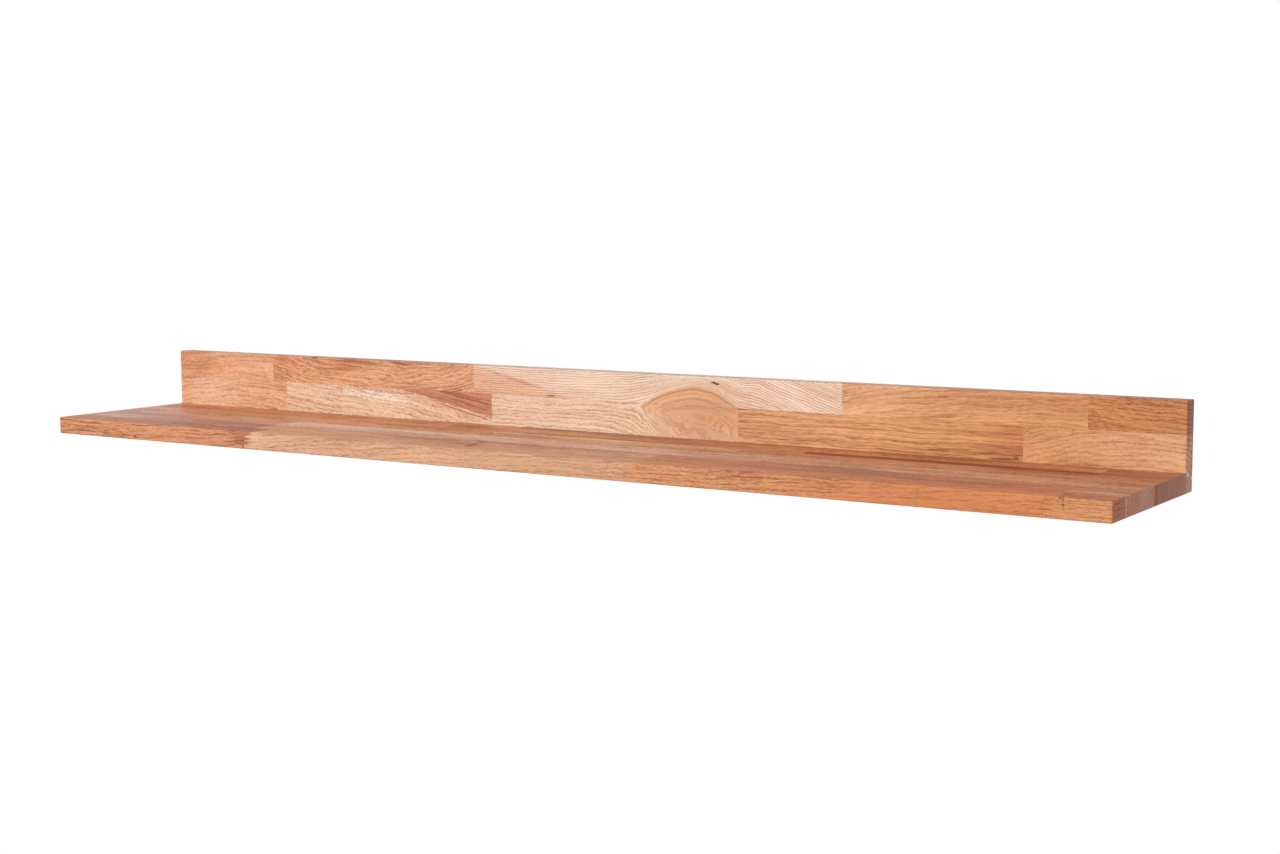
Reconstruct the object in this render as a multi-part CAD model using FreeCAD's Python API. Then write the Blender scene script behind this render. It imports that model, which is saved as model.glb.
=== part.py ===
import FreeCAD, Part
import math
import os

# Wall shelf of solid oak: a shelf board butted against a taller back board, both edge-glued from
# finger-jointed staves. Millimetres. +X runs along the shelf, +Z is up, the front faces -Y.
# The origin is the centre of the back board's rear face, which lies on the wall (Y = 0).

# Overall sizes
shelf_length = 1200.0
shelf_depth = 200.0  # from the wall to the front edge
back_height = 80.0
shelf_thickness = 18.0
back_thickness = 18.0
edge_ease = 1.25  # rounding of every outer edge

# Finger joints between the staves of one row
finger_length = 10.0
finger_tip = 0.6  # blunt end of a finger
finger_flanks = 5  # slopes between the two shoulders of a joint
shown_shoulder = 2.9  # straight part of a joint at the seen face of the board
hidden_shoulder = 4.9  # the same at the other face

# Glue lines between the rows, as shares of the board's width across the rows.
# The shelf board counts from its front edge, the back board from its underside.
shelf_row_shares = (0.0, 0.158, 0.352, 0.546, 0.740, 0.934, 1.0)
back_row_shares = (0.0, 0.184, 0.634, 1.0)

# Finger joints in each row, as shares of the length from the left end to the line on the seen face
shelf_joint_shares = {
    "front": (0.2422, 0.6313, 0.9611),
    "second": (0.223, 0.627, 0.959),
    "third": (0.220, 0.709),
    "fourth": (0.421, 0.665),
    "fifth": (0.358, 0.7135, 0.948),
    "rear": (0.421, 0.649, 0.902),
}
back_joint_shares = {
    "bottom": (0.257, 0.540, 0.783),
    "middle": (0.1413, 0.3849, 0.6345, 0.8782),
    "top": (0.1247, 0.3657, 0.7285, 0.9274),
}

# Dowels in the butt joint of the two boards
dowel_radius = 4.0
dowel_length = 35.0
dowel_chamfer = 1.0
dowel_count = 8
dowel_inset = 75.0  # first dowel from each end of the board
dowel_cover = 5.0  # wood left between a dowel hole and the rear face
flute_radius = 0.5
flute_count = 8
hole_clearance = 0.1  # round a dowel or a screw
end_clearance = 1.0  # beyond the end of a dowel or a screw

# Keyhole plates let flush into the rear face
plate_spacing = 800.0  # centre to centre
plate_width = 50.0
plate_height = 24.0
plate_thickness = 2.0
plate_corner = 3.0
plate_top_margin = 4.0  # from the top edge of the back board
plate_clearance = 0.2  # between the plate's rim and its recess
entry_radius = 5.0  # round entrance for the head of the wall screw
entry_height = 7.5  # above the plate's lower edge
slot_radius = 2.5  # half the width of the slot that the shank slides up
slot_travel = 9.0  # from the entrance up to the hanging point
pocket_margin = 2.0  # free space round the head of the wall screw
pocket_depth = 6.0  # behind the plate

# Countersunk screws that hold the plates
screw_length = 12.0
screw_radius = 1.5
screw_head_radius = 3.2
screw_point = 2.0
screw_inset = 6.0  # from the end of the plate
drive_radius = 1.4
drive_depth = 0.8
drive_count = 6  # sides of the drive recess

# How far a cutting shape runs past the face that it cuts
overrun = 5.0

# Places worked out from the sizes above
left_x = -shelf_length / 2
front_y = -shelf_depth
joint_y = -back_thickness
bottom_z = -back_height / 2
top_z = back_height / 2
shelf_top_z = bottom_z + shelf_thickness
shelf_board_width = shelf_depth - back_thickness
dowel_z = bottom_z + shelf_thickness / 2
dowel_back_end_y = -(dowel_cover + end_clearance)
plate_low_z = top_z - plate_top_margin - plate_height
entry_z = plate_low_z + entry_height
plate_centres_x = (-plate_spacing / 2, plate_spacing / 2)

ALONG_X = FreeCAD.Vector(1, 0, 0)
ALONG_Y = FreeCAD.Vector(0, 1, 0)
TOWARDS_FRONT = FreeCAD.Vector(0, -1, 0)
ALONG_Z = FreeCAD.Vector(0, 0, 1)


def point(x, y, z):
    return FreeCAD.Vector(x, y, z)


def prism(outline, run):
    """A closed flat outline, carried along a vector."""
    return Part.Face(Part.makePolygon(outline + outline[:1])).extrude(run)


def finger_line(joint_share, thickness):
    """Points (along the length, below the seen face) of one zigzag joint, from face to face.

    It starts with a shoulder on the right, runs over the slopes of the fingers from side to side and
    ends with a shoulder on the left, so each face shows a straight joint.
    """
    right = left_x + shelf_length * joint_share
    left = right - finger_length
    last_depth = thickness - hidden_shoulder
    step = (last_depth - shown_shoulder) / finger_flanks
    points = [(right, 0), (right, shown_shoulder)]
    for flank in range(1, finger_flanks):
        side = left if flank % 2 else right
        middle = shown_shoulder + flank * step
        points.append((side, middle - finger_tip / 2))
        points.append((side, middle + finger_tip / 2))
    points += [(left, last_depth), (left, thickness)]
    return points


def stave_outlines(joint_shares, thickness):
    """The long outline of every stave in a row, with fingers at its inner ends."""
    left_end = [(left_x, 0), (left_x, thickness)]
    right_end = [(left_x + shelf_length, 0), (left_x + shelf_length, thickness)]
    lines = [left_end] + [finger_line(share, thickness) for share in joint_shares] + [right_end]
    return [left + right[::-1] for left, right in zip(lines, lines[1:])]


def eased_body():
    """The outside of the two glued boards, with every outer edge rounded."""
    outline = [
        point(left_x, front_y, bottom_z),
        point(left_x, 0, bottom_z),
        point(left_x, 0, top_z),
        point(left_x, joint_y, top_z),
        point(left_x, joint_y, shelf_top_z),
        point(left_x, front_y, shelf_top_z),
    ]
    body = prism(outline, ALONG_X * shelf_length)
    outer = [edge for edge in body.Edges if not is_inner_corner(edge)]
    return body.makeFillet(edge_ease, outer)


def is_inner_corner(edge):
    """True for the long edge where the shelf's top meets the back board."""
    middle = edge.CenterOfMass
    near = math.hypot(middle.y - joint_y, middle.z - shelf_top_z)
    return near < edge_ease and edge.Length > shelf_thickness + back_height


def shelf_staves(body):
    """Staves of the shelf board by node name, rows from the front edge to the back board."""
    staves = {}
    edges = [front_y + shelf_board_width * share for share in shelf_row_shares]
    for (row, joint_shares), near, far in zip(shelf_joint_shares.items(), edges, edges[1:]):
        for number, outline in enumerate(stave_outlines(joint_shares, shelf_thickness), 1):
            corners = [point(x, near, shelf_top_z - depth) for x, depth in outline]
            stave = prism(corners, ALONG_Y * (far - near)).common(body)
            staves[f"shelf_{row}_row_stave_{number}"] = stave
    return staves


def back_staves(body):
    """Staves of the back board by node name, rows from the underside to the top edge."""
    staves = {}
    edges = [bottom_z + back_height * share for share in back_row_shares]
    for (row, joint_shares), low, high in zip(back_joint_shares.items(), edges, edges[1:]):
        for number, outline in enumerate(stave_outlines(joint_shares, back_thickness), 1):
            corners = [point(x, joint_y + depth, low) for x, depth in outline]
            stave = prism(corners, ALONG_Z * (high - low)).common(body)
            staves[f"back_{row}_row_stave_{number}"] = stave
    return staves


def dowel_centres():
    """Places along the length of the dowels."""
    pitch = (shelf_length - 2 * dowel_inset) / (dowel_count - 1)
    return [left_x + dowel_inset + number * pitch for number in range(dowel_count)]


def dowel(x):
    """A fluted dowel with chamfered ends, along Y from inside the back board into the shelf board."""
    start = point(x, dowel_back_end_y, dowel_z)
    rod = Part.makeCylinder(dowel_radius, dowel_length, start, TOWARDS_FRONT)
    ends = [edge for edge in rod.Edges if edge.Closed]
    rod = rod.makeChamfer(dowel_chamfer, ends)
    for number in range(flute_count):
        angle = 2 * math.pi * number / flute_count
        side = point(math.cos(angle), 0, math.sin(angle)) * dowel_radius
        rod = rod.cut(Part.makeCylinder(flute_radius, dowel_length, start + side, TOWARDS_FRONT))
    return rod


def dowel_hole(x):
    """The hole for one dowel, through the joint face and into both boards."""
    start = point(x, dowel_back_end_y + end_clearance, dowel_z)
    return Part.makeCylinder(
        dowel_radius + hole_clearance, dowel_length + 2 * end_clearance, start, TOWARDS_FRONT
    )


def keyhole(x, entry_r, slot_r, start_y, depth):
    """A round entrance with a narrower slot above it, cut from a plane towards the front."""
    entry = Part.makeCylinder(entry_r, depth, point(x, start_y, entry_z), TOWARDS_FRONT)
    slot = Part.makeBox(2 * slot_r, depth, slot_travel, point(x - slot_r, start_y - depth, entry_z))
    hang_end = point(x, start_y, entry_z + slot_travel)
    slot_end = Part.makeCylinder(slot_r, depth, hang_end, TOWARDS_FRONT)
    return entry.fuse([slot, slot_end]).removeSplitter()


def rounded_plate(x, margin, depth):
    """The plate's block with round corners, grown by a margin, from the wall plane to a depth."""
    block = Part.makeBox(
        plate_width + 2 * margin,
        depth,
        plate_height + 2 * margin,
        point(x - plate_width / 2 - margin, -depth, plate_low_z - margin),
    )
    corners = [edge for edge in block.Edges if abs(edge.tangentAt(edge.FirstParameter).y) > 0.5]
    return block.makeFillet(plate_corner + margin, corners)


def screw_places(x):
    """Where the axes of one plate's screws meet the wall plane."""
    reach = plate_width / 2 - screw_inset
    middle_z = plate_low_z + plate_height / 2
    return [point(x - reach, 0, middle_z), point(x + reach, 0, middle_z)]


def screw_body(place, gap):
    """Countersunk head, shank and point of a screw, grown sideways by a gap."""
    head_depth = screw_head_radius - screw_radius
    shank_end = screw_length - screw_point
    outline = [
        place,
        place + ALONG_X * (screw_head_radius + gap),
        place + ALONG_X * (screw_radius + gap) + TOWARDS_FRONT * head_depth,
        place + ALONG_X * (screw_radius + gap) + TOWARDS_FRONT * shank_end,
        place + TOWARDS_FRONT * (screw_length + gap),
    ]
    half = Part.Face(Part.makePolygon(outline + outline[:1]))
    return half.revolve(place, ALONG_Y, 360)


def plate_screw(place):
    """One screw with its drive recess."""
    rim = []
    for side in range(drive_count):
        angle = 2 * math.pi * side / drive_count
        rim.append(place + point(math.cos(angle), 0, math.sin(angle)) * drive_radius)
    return screw_body(place, 0).cut(prism(rim, TOWARDS_FRONT * drive_depth))


def keyhole_plate(x):
    """One flush steel plate with its keyhole and two countersunk holes."""
    plate = rounded_plate(x, 0, plate_thickness)
    plate = plate.cut(keyhole(x, entry_radius, slot_radius, overrun, plate_thickness + 2 * overrun))
    for place in screw_places(x):
        plate = plate.cut(screw_body(place, hole_clearance))
    return plate


def hanger_recess(x):
    """Everything cut from the back board for one plate: its seat, the head pocket and screw holes."""
    seat = rounded_plate(x, plate_clearance, plate_thickness)
    head_room = entry_radius + pocket_margin
    pocket = keyhole(x, head_room, head_room, 0, plate_thickness + pocket_depth)
    holes = [screw_body(place, hole_clearance) for place in screw_places(x)]
    return seat.fuse([pocket] + holes)


def cut_where_met(staves, tools):
    """Cut each tool from every stave that it reaches."""
    for name, stave in staves.items():
        for tool in tools:
            if stave.BoundBox.intersect(tool.BoundBox) and stave.common(tool).Volume > 0:
                stave = stave.cut(tool)
        staves[name] = stave


def build():
    """All sub-parts by node name."""
    body = eased_body()
    staves = shelf_staves(body)
    staves.update(back_staves(body))
    tools = [dowel_hole(x) for x in dowel_centres()]
    tools += [hanger_recess(x) for x in plate_centres_x]
    cut_where_met(staves, tools)
    nodes = dict(staves)
    nodes["shelf_dowels"] = Part.makeCompound([dowel(x) for x in dowel_centres()])
    for side, x in zip(("left", "right"), plate_centres_x):
        nodes[f"keyhole_plate_{side}"] = keyhole_plate(x)
    screws = [plate_screw(place) for x in plate_centres_x for place in screw_places(x)]
    nodes["plate_screws"] = Part.makeCompound(screws)
    return nodes


os.makedirs("parts", exist_ok=True)
for name, shape in build().items():
    shape.exportStep(f"parts/{name}.step")
    print(name, len(shape.Solids), "solids", round(shape.Volume), "mm3", shape.isValid())
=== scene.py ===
# %% [markdown]
# # A wall shelf of finger-jointed oak
#
# The shelf is two boards of solid oak, one lying and one standing behind it. Each board is glued up
# from rows of short staves, and hardly any two neighbours come from the same tree, so the looks of
# the shelf are the looks of thirty-odd different pieces of oak. All the shapes are already in the
# packed model, staves and finger joints included. This lesson adds what a shape cannot say: the
# growth rings, the pores, the tone of each stave, the oiled sheen, and the light to see them by.

# %% Load the packed model
import math
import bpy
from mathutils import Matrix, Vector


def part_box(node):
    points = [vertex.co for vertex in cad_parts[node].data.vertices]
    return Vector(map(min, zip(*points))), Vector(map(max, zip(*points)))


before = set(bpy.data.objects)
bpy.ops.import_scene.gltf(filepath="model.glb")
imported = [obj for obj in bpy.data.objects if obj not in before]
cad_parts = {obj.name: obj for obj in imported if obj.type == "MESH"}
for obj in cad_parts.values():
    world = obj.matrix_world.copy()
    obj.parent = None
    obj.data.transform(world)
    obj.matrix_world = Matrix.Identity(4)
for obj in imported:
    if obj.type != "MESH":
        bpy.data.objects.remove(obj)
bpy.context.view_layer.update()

from types import SimpleNamespace

import bpy
import numpy as np
from mathutils import Matrix, Vector

# %% [markdown]
# ## The camera
#
# A photograph keeps the angles of its camera, so the place of the camera can be worked out from the
# corners of the boards: the long edges run to one vanishing point, the short ones to another. A fit
# to seven edges of the outline gave the numbers below. The camera stands in front of the right half,
# 20 cm above the shelf's middle, and looks down by about six degrees. The turn is made in the order
# in which a tripod head makes it: first the pan about the upright, then the tilt, then a slight roll.

# %% Camera
CAMERA_AT = (1.0926, -1.6219, 0.2007)
PAN, TILT, ROLL = 0.5772, 0.1116, 0.0048  # in radians
LENS, SENSOR_WIDTH = 54.04, 36.0  # in millimetres

lens = bpy.data.cameras.new("camera")
lens.sensor_fit = "HORIZONTAL"
lens.sensor_width = SENSOR_WIDTH
lens.lens = LENS
camera = bpy.data.objects.new("camera", lens)
bpy.context.scene.collection.objects.link(camera)
camera.matrix_world = (
    Matrix.Translation(CAMERA_AT)
    @ Matrix.Rotation(PAN, 4, "Z")
    @ Matrix.Rotation(math.pi / 2 - TILT, 4, "X")
    @ Matrix.Rotation(-ROLL, 4, "Z")
)
bpy.context.scene.camera = camera
bpy.context.scene.view_settings.view_transform = "Standard"
print("camera", f"{Vector(CAMERA_AT).length:.2f}", "m from the shelf's origin, lens", LENS, "mm")

# %% [markdown]
# ## Shader sums that read like sums
#
# A wood grain is a formula, and a formula drawn as a web of nodes is hard to read and harder to
# change. So one small class, Value, wraps a socket and gives it the signs of ordinary arithmetic.
# Writing a * 2 + b then adds the two Math nodes by itself. A second class, Finish, is one material
# being built: its method node adds any other node from its type, its settings and its inputs. The
# few nodes that come again and again, such as a noise or a soft step, have a method of their own.

# %% Value
class Value:
    """One output of a node. On numbers, + - * / and ** each add one Math node."""

    def __init__(self, finish, socket):
        self.finish = finish
        self.socket = socket

    def __add__(self, other):
        return self.finish.sum("ADD", self, other)

    def __sub__(self, other):
        return self.finish.sum("SUBTRACT", self, other)

    def __rsub__(self, other):
        return self.finish.sum("SUBTRACT", other, self)

    def __mul__(self, other):
        return self.finish.sum("MULTIPLY", self, other)

    def __truediv__(self, other):
        return self.finish.sum("DIVIDE", self, other)

    def __rtruediv__(self, other):
        return self.finish.sum("DIVIDE", other, self)

    def __pow__(self, other):
        return self.finish.sum("POWER", self, other)

    __radd__ = __add__
    __rmul__ = __mul__


print("signs that add a Math node: + - * / **")

# %% Finish
class Finish:
    """A material, or the world, being built node by node."""

    def __init__(self, owner):
        self.owner = owner
        owner.use_nodes = True
        self.tree = owner.node_tree
        self.tree.nodes.clear()

    def node(self, kind, settings=None, inputs=None, output=0):
        """Adds a node: its settings first, then a number or a link on each input. Gives one output,
        or none where output is None."""
        made = self.tree.nodes.new(kind)
        for name, setting in (settings or {}).items():
            setattr(made, name, setting)
        for name, value in (inputs or {}).items():
            if isinstance(value, Value):
                self.tree.links.new(value.socket, made.inputs[name])
            else:
                made.inputs[name].default_value = value
        if output is not None:
            return Value(self, made.outputs[output])

    def sum(self, operation, *numbers):
        """One step of arithmetic on numbers."""
        return self.node("ShaderNodeMath", {"operation": operation}, dict(enumerate(numbers)))

    def vector(self, *numbers):
        """A vector of three numbers."""
        return self.node("ShaderNodeCombineXYZ", inputs=dict(enumerate(numbers)))

    def parts(self, vector):
        """The three numbers of a vector."""
        return [self.node("ShaderNodeSeparateXYZ", inputs={0: vector}, output=axis) for axis in (0, 1, 2)]

    def scaled(self, vector, times):
        """A vector, a number of times as long."""
        return self.node("ShaderNodeVectorMath", {"operation": "SCALE"}, {0: vector, "Scale": times})

    def millimetres(self):
        """Where a point is on the part, in millimetres from the part's origin."""
        return self.scaled(self.node("ShaderNodeTexCoord", output="Object"), 1000.0)

    def noise(self, vector, detail=1.0, rough=0.5):
        """Soft random blotches from -0.5 to 0.5, about one unit of the vector across."""
        inputs = {"Vector": vector, "Scale": 1.0, "Detail": detail, "Roughness": rough}
        return self.node("ShaderNodeTexNoise", inputs=inputs) - 0.5

    def smooth(self, value, low, high):
        """0 below low, 1 above high, a soft S between. With low above high it falls instead.
        The node's inputs 1 to 4 are the range that the value comes from and the one it goes to."""
        ends = {1: low, 2: high, 3: 0.0, 4: 1.0} if low < high else {1: high, 2: low, 3: 1.0, 4: 0.0}
        return self.node("ShaderNodeMapRange", {"interpolation_type": "SMOOTHSTEP"}, {0: value, **ends})

    def limit(self, value):
        """The value, kept between 0 and 1."""
        return self.node("ShaderNodeClamp", inputs={0: value})

    def mix(self, share, first, second, how="MIX"):
        """A colour between two colours, or the first one tinted by the second with how="MULTIPLY".
        On this node the colours are the inputs 6 and 7 and the output 2."""
        settings = {"data_type": "RGBA", "blend_type": how}
        return self.node("ShaderNodeMix", settings, {0: share, 6: first, 7: second}, 2)

    def surface(self, height, depth, strength, **inputs):
        """Ends a material with a Principled shader, whose small relief is depth metres deep. In the
        names of the other inputs a low line stands for a space."""
        relief = {"Height": height, "Distance": depth, "Strength": strength}
        inputs["Normal"] = self.node("ShaderNodeBump", inputs=relief)
        named = {name.replace("_", " "): value for name, value in inputs.items()}
        shader = self.node("ShaderNodeBsdfPrincipled", inputs=named)
        self.node("ShaderNodeOutputMaterial", inputs={"Surface": shader}, output=None)
        return self.owner


print("a finish is built from", ", ".join(name for name in vars(Finish) if not name.startswith("_")))

# %% [markdown]
# ## Tones
#
# Oak heartwood runs from straw to a reddish brown, and oil deepens it. Each tone here is a pair, the
# light wood and its darkest streaks, chosen on a screen and written as it shows there, 0 to
# 255. A shader works on light itself, so the function tone turns a screen number into that, and the
# function times_light does the same for factors that make a tone paler, darker or redder.

# %% Tones of oak
TONES = {
    "cream": ((254, 226, 202), (212, 156, 124)),
    "pale": ((252, 214, 182), (200, 136, 100)),
    "blush": ((230, 174, 144), (178, 116, 90)),
    "fawn": ((246, 192, 150), (186, 116, 78)),
    "honey": ((238, 176, 128), (172, 102, 60)),
    "gold": ((236, 170, 118), (150, 80, 42)),
    "tan": ((240, 174, 128), (168, 98, 62)),
    "orange": ((234, 162, 112), (154, 82, 48)),
    "amber": ((220, 146, 94), (134, 70, 34)),
    "rose": ((214, 146, 118), (156, 98, 76)),
    "rust": ((204, 126, 92), (138, 74, 48)),
    "russet": ((196, 124, 94), (132, 72, 48)),
}
PORE_TONE = (140, 80, 50)


def tone(red, green, blue, times=1.0):
    """A screen colour as light. Formula: each number over 255, raised by 0.055, over 1.055, all to
    the power 2.4. times makes the screen colour brighter or darker first."""
    parts = (np.clip(np.array([red, green, blue]) * times, 0, 255) / 255 + 0.055) / 1.055
    return tuple(float(part) for part in parts**2.4) + (1.0,)


def times_light(factors):
    """Factors for a screen's red, green and blue, as factors for light. Formula: each to the power
    2.2, which is close to what tone does."""
    return tuple(factor**2.2 for factor in factors) + (1.0,)


cream = [round(part, 2) for part in tone(*TONES["cream"][0])[:3]]
print(len(TONES), "tones of oak; the light one of cream is", cream, "as light")

# %% [markdown]
# ## The growth of one stave
#
# A tree grows a ring each year, and a stave is a stick cut out of that stack of rings. So the grain
# on all six sides of a stave follows from one thing: where the heart of the tree lay, seen from the
# stave. With the heart straight below, the upright sides show straight lines. With the heart behind,
# the same side shows arches. The functions below do just that: they measure how far each point is
# from the heart and divide by the width of a ring, and the whole number that comes out is the year.
# The same formula gives the rings on the sawn ends with no extra work, and a line that leaves one
# side of a stave goes on round the corner. A picture of wood laid on each side would not do that.

# %% Heart
SEED_STEP = 37.0  # millimetres of noise from one seed to the next
WAVES = [(95, 40, 9), (26, 16, 3)]  # length, width and reach in millimetres


def heartwards(finish, recipe, x, y, z):
    """Distances along the stave, towards the heart and across.
    Formula: a is the distance along the line from the heart to the stave and b the distance across
    it. Along the stave a climbs by lean for each millimetre, by bow for each millimetre squared and
    in two slow waves, which bends the rings as a crooked trunk does. Past the start of a bend it
    climbs by the bend's slope too. The seed moves each stave to a place of its own in the noise, so
    that no two staves wave alike."""
    distance, angle = recipe["heart"]
    cos, sin = math.cos(math.radians(angle)), math.sin(math.radians(angle))
    far = x + recipe["seed"] * SEED_STEP
    climb = x * recipe["lean"] + x * x * recipe["bow"]
    for length, width, reach in WAVES:
        wave = finish.noise(finish.vector(far / length, y / width, z / width))
        climb = climb + wave * (reach * recipe["waves"])
    if "bend" in recipe:
        start, slope = recipe["bend"]
        climb = climb + finish.sum("MAXIMUM", x - start, 0.0) * slope
    return far, y * cos + z * sin + climb + distance, z * cos - y * sin


for length, _, reach in WAVES:
    print("waves about", length, "mm long move the rings by up to", reach / 2, "mm either way")

# %% Rings
DRIFT_SIZE = (160, 14, 20)  # millimetres along, towards the heart and across
SPRING_FULL, SPRING_OVER = 0.05, 0.55  # parts of a year


def spring_wood(finish, recipe, far, a, b):
    """1 in the porous wood that grows in spring, 0 in the dense wood after it.
    Formula: the year is the root of a squared plus b squared, over the ring's width, and the place
    within the year is what is left when the whole years are taken off. The drift is a slow noise
    that makes good years wider and bad years narrower."""
    along, inward, sideways = DRIFT_SIZE
    drift = finish.noise(finish.vector(far / along, a / inward, b / sideways)) * recipe["drift"]
    year = (a * a + b * b) ** 0.5 / recipe["ring"] + drift
    return finish.smooth(finish.sum("FRACT", year), SPRING_OVER, SPRING_FULL)


print(f"{SPRING_FULL:.0%} of a year is full spring wood, and it is over by {SPRING_OVER:.0%}")

# %% [markdown]
# ## Streaks and pores
#
# Between the rings a plank is never one colour. Its fibres lie in bundles, and bundles of every
# width, from a hair to a finger, are a little lighter or darker than their neighbours. Five noises
# drawn out along the stave give five widths: three fine streaks and two broad bands. They are kept
# apart, because one tree has lively streaks on calm bands and another the other way round. Pores are
# the cut-open vessels of the spring wood: thin dark dashes a few millimetres long, which also dent
# the surface under the oil.

# %% Streaks
STREAKS = [(3, 0.6, 1.5), (8, 1.0, 1.3), (34, 1.6, 1.5)]  # length and width in millimetres, strength
BANDS = [(70, 9, 0.45), (150, 24, 1.2)]
BUNDLE_ROUGHNESS = 0.6


def bundles(finish, recipe, kinds, far, a, b):
    """Bundles of fibre of several widths, added up around 0.
    Formula: for each kind, a noise as long and as wide as the kind says, times its strength. The
    recipe's stretch makes all of them that many times longer."""
    total = 0.0
    for length, width, strength in kinds:
        spot = finish.vector(far / (length * recipe["stretch"]), a / width, b / width)
        total = finish.noise(spot, rough=BUNDLE_ROUGHNESS) * strength + total
    return total


print(len(STREAKS), "kinds of streak from", STREAKS[0][1], "mm wide,", len(BANDS), "kinds of band")

# %% Pores
PORE_LENGTH, PORE_WIDTH = 6, 0.7  # in millimetres
PORE_EDGE = (0.0, 0.12)  # heights of the noise at which a pore starts and is full
SUMMER_PORES = 0.3


def pores(finish, far, a, b, spring):
    """1 in a pore. Formula: the high spots of a noise of thin dashes, at their full depth in spring
    wood and at 0.3 of it in summer wood."""
    dashes = finish.noise(finish.vector(far / PORE_LENGTH, a / PORE_WIDTH, b / PORE_WIDTH))
    return finish.smooth(dashes, *PORE_EDGE) * (SUMMER_PORES + (1 - SUMMER_PORES) * spring)


print("pores about", PORE_LENGTH, "mm long and", PORE_WIDTH, "mm wide")

# %% [markdown]
# ## A branch in the wood
#
# Two staves of the back, one above the other, were cut past the same branch. The rings rise over it
# like water over a stone, and the flow round a stone has a simple formula, so that is used as it
# stands. What it flows round is not a ball: the saw met the branch at a slant, so the knot is shaped
# like an eye, with a pointed corner to either side, and it hangs down deeper than it rises. Above
# its middle it has a clear rim with thin rings inside. Below, it runs out softly into the wood.

# %% Knot
KNOT_TONE, RIM_TONE = (222, 160, 112), (198, 124, 80)
KNOT_RINGS = [(2.4, 1.7, 1.0), (6.0, 1.1, 0.4), (11.4, 2.1, 0.8)]  # depth, half width, strength
SIDES_MEET = 12  # millimetres from the knot's middle to where its left or right length counts in full
DEEPER_FROM, DEEPER_TO = 3.0, -6.0  # heights between which the knot grows deeper than it rises
OPEN_FROM, OPEN_TO, OPEN_BY = 6.0, -14.0, 1.7  # heights between which its lower right opens
UPPER_PART = (-6.0, 18.0)  # heights between which its rim becomes clear
SHARP_RIM, SOFT_RIM = (2.0, -1.5), (9.0, -14.0)  # where a rim starts outside and is full inside
KNOT_NOISES = (0.05, 0.11)  # one over the size of the noises that disturb the arches
UNREST_ACROSS, UNREST_UP = 12, 4  # how far the first one moves them
SWIRL_BELOW, SWIRL_ABOVE = 6.5, 1.0  # how far the second one does
CREST = 6.0  # square millimetres that round off the distance near the knot's middle
INNER_GRAIN = 0.8


def from_knot(finish, place, knot):
    """The height over the knot's middle, how many times it was shortened, the distance from the
    middle, and a mask for the upper part.
    Formula: the distance is the root of the height squared plus CREST, plus the distance across
    squared over the half height. Its lines of one value are pairs of arches that meet in points.
    Across is first divided by the knot's left or right number and, below the middle, the height by
    its deep one. Below on the right the second part turns negative, and the arches open there."""
    across, up, tall, left, right, deep = knot
    unrest, swirl = (finish.noise(finish.scaled(place, times)) for times in KNOT_NOISES)
    x, _, z = finish.parts(place)
    side = finish.smooth(x, across - SIDES_MEET, across + SIDES_MEET)
    u = (x - across + unrest * UNREST_ACROSS) / (left + side * (right - left))
    v = z - up + unrest * UNREST_UP
    shortened = 1 + finish.smooth(v, DEEPER_FROM, DEEPER_TO) * (deep - 1)
    v = v / shortened
    upper = finish.smooth(z, *UPPER_PART)
    opening = 1 - side * finish.smooth(v, OPEN_FROM, OPEN_TO) * OPEN_BY
    ragged = swirl * (SWIRL_BELOW - (SWIRL_BELOW - SWIRL_ABOVE) * upper)
    away = (v * v + CREST) ** 0.5 + u * u / tall * opening + ragged
    return v, shortened, away, upper


def around_knot(finish, place, centre, knot):
    """The height that the grain believes it has near a knot, then masks for the knot, for its rings
    and for its upper part.
    knot: its middle across and up and its half height, all in millimetres, then how many times
    longer it is to the left, to the right and below.
    Formula: outside, the height over the knot's middle times 1 minus half height squared over
    distance squared, the flow round a stone. Inside, it falls by INNER_GRAIN for each millimetre
    from the rim, so that the grain lies in arches under it. Both are drawn out by as much as the
    height was shortened. KNOT_RINGS adds darker lines at three depths."""
    _, up, tall, *_ = knot
    v, shortened, away, upper = from_knot(finish, place, knot)
    outer = finish.sum("MAXIMUM", away, tall)
    sharp, soft = (finish.smooth(away, tall + out, tall + deep) for out, deep in (SHARP_RIM, SOFT_RIM))
    inside = sharp * upper + soft * (1 - upper)
    bent = (v * (1 - tall * tall / (outer * outer)) + (away - outer) * INNER_GRAIN) * shortened
    rings = 0.0
    for depth, width, strength in KNOT_RINGS:
        off = finish.sum("ABSOLUTE", away - (tall - depth))
        rings = finish.smooth(off, width, 0.0) * strength + rings
    return bent + (up - centre[2]), inside, rings * upper * upper, upper


print("the knot's rings lie", ", ".join(str(depth) for depth, _, _ in KNOT_RINGS), "mm inside its rim")

# %% [markdown]
# ## Marks
#
# Many a stave also has something of its own: a dark streak, a pale patch of sapwood, a pin knot, a
# spot of glue. They could be painted on a picture, but a picture has a fixed fineness and fits one
# side only. So a mark is an ellipse laid into the stave with a ragged edge. It keeps the streaks of
# the wood under it, because a stain darkens the grain and does not hide it. A wedge is the same with
# one straight border, for the places where dark heartwood ends at a slant.

# %% Marks
THROUGH = 1000.0
MARK_LIGHT, MARK_DARK = 1.1, 0.82
RAGGED_MARK, RAGGED_WEDGE = 2.2, 8  # how much a streak moves the edge


def own_grain(finish, shade, colour):
    """A mark's colour with the grain still in it."""
    return finish.mix(shade, tone(*colour, MARK_LIGHT), tone(*colour, MARK_DARK))


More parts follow.
